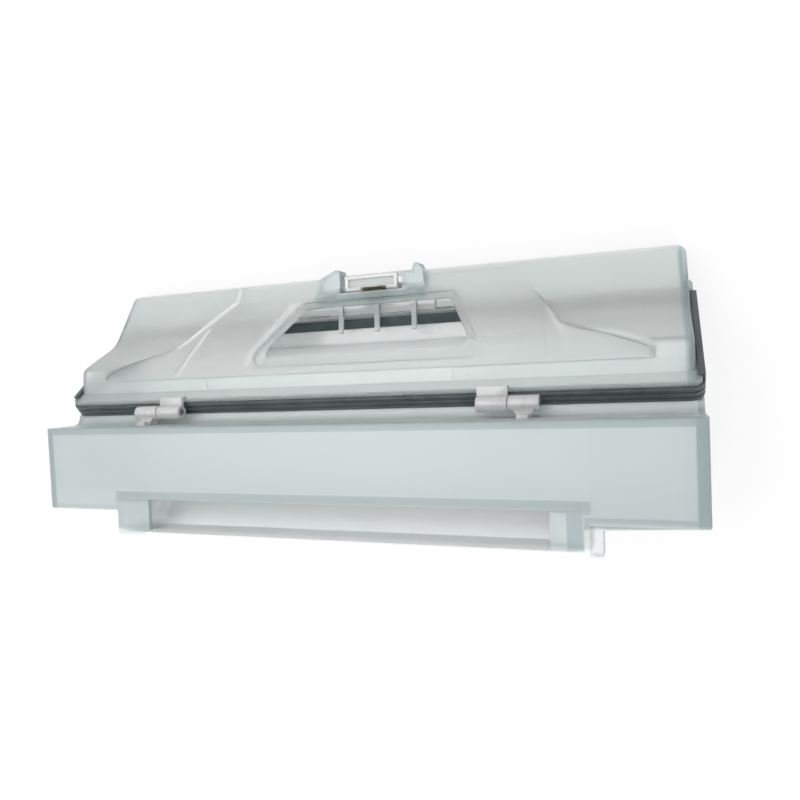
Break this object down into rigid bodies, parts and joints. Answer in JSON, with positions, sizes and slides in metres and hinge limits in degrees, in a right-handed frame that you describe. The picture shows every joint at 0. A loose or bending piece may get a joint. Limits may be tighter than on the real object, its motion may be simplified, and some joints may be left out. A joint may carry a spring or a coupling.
{
  "type": "robot vacuum dust bin",
  "caption": "Low oblong dust bin with an intake mouth in its flat front, closed by a hinged wave-shaped lid with a filter window, a ribbed rubber seal and a rocking latch.",
  "frame": {"origin": "middle of the bounding box on the plane of the bin's flat back", "axes": "+X along the bin, +Y from the intake mouth to the latch, +Z from the flat back up to the front panel"},
  "size_m": [0.291, 0.1204, 0.072],
  "materials": {
    "frosted_plastic": "translucent, frosted inside, satin outside",
    "clear_plastic": "clear, moulded",
    "seal_rubber": "satin black",
    "pin_steel": "drawn wire",
    "spring_steel": "dull olive passivated spring wire"
  },
  "bodies": {
    "tray": {"tray": "frosted_plastic", "left_tray_hinge": "clear_plastic", "right_tray_hinge": "clear_plastic", "left_hinge_pin": "pin_steel", "right_hinge_pin": "pin_steel"},
    "lid": {"lid": "frosted_plastic", "lid_seal": "seal_rubber", "left_lid_hinge": "clear_plastic", "right_lid_hinge": "clear_plastic", "latch_axle": "pin_steel", "latch_spring": "spring_steel"},
    "latch": {"latch_lever": "clear_plastic"}
  },
  "joints": [
    {"name": "lid_hinge", "type": "hinge", "parent": "tray", "child": "lid", "pos_m": [0, -0.00495, 0.0582], "axis": [1, 0, 0], "range_deg": [0, 110]},
    {"name": "latch_pivot", "type": "hinge", "parent": "lid", "child": "latch", "pos_m": [0.0017, 0.05055, 0.0086], "axis": [1, 0, 0], "range_deg": [0, 5], "stiffness_Nm_per_rad": 0.15, "springref_deg": -8.59}
  ]
}
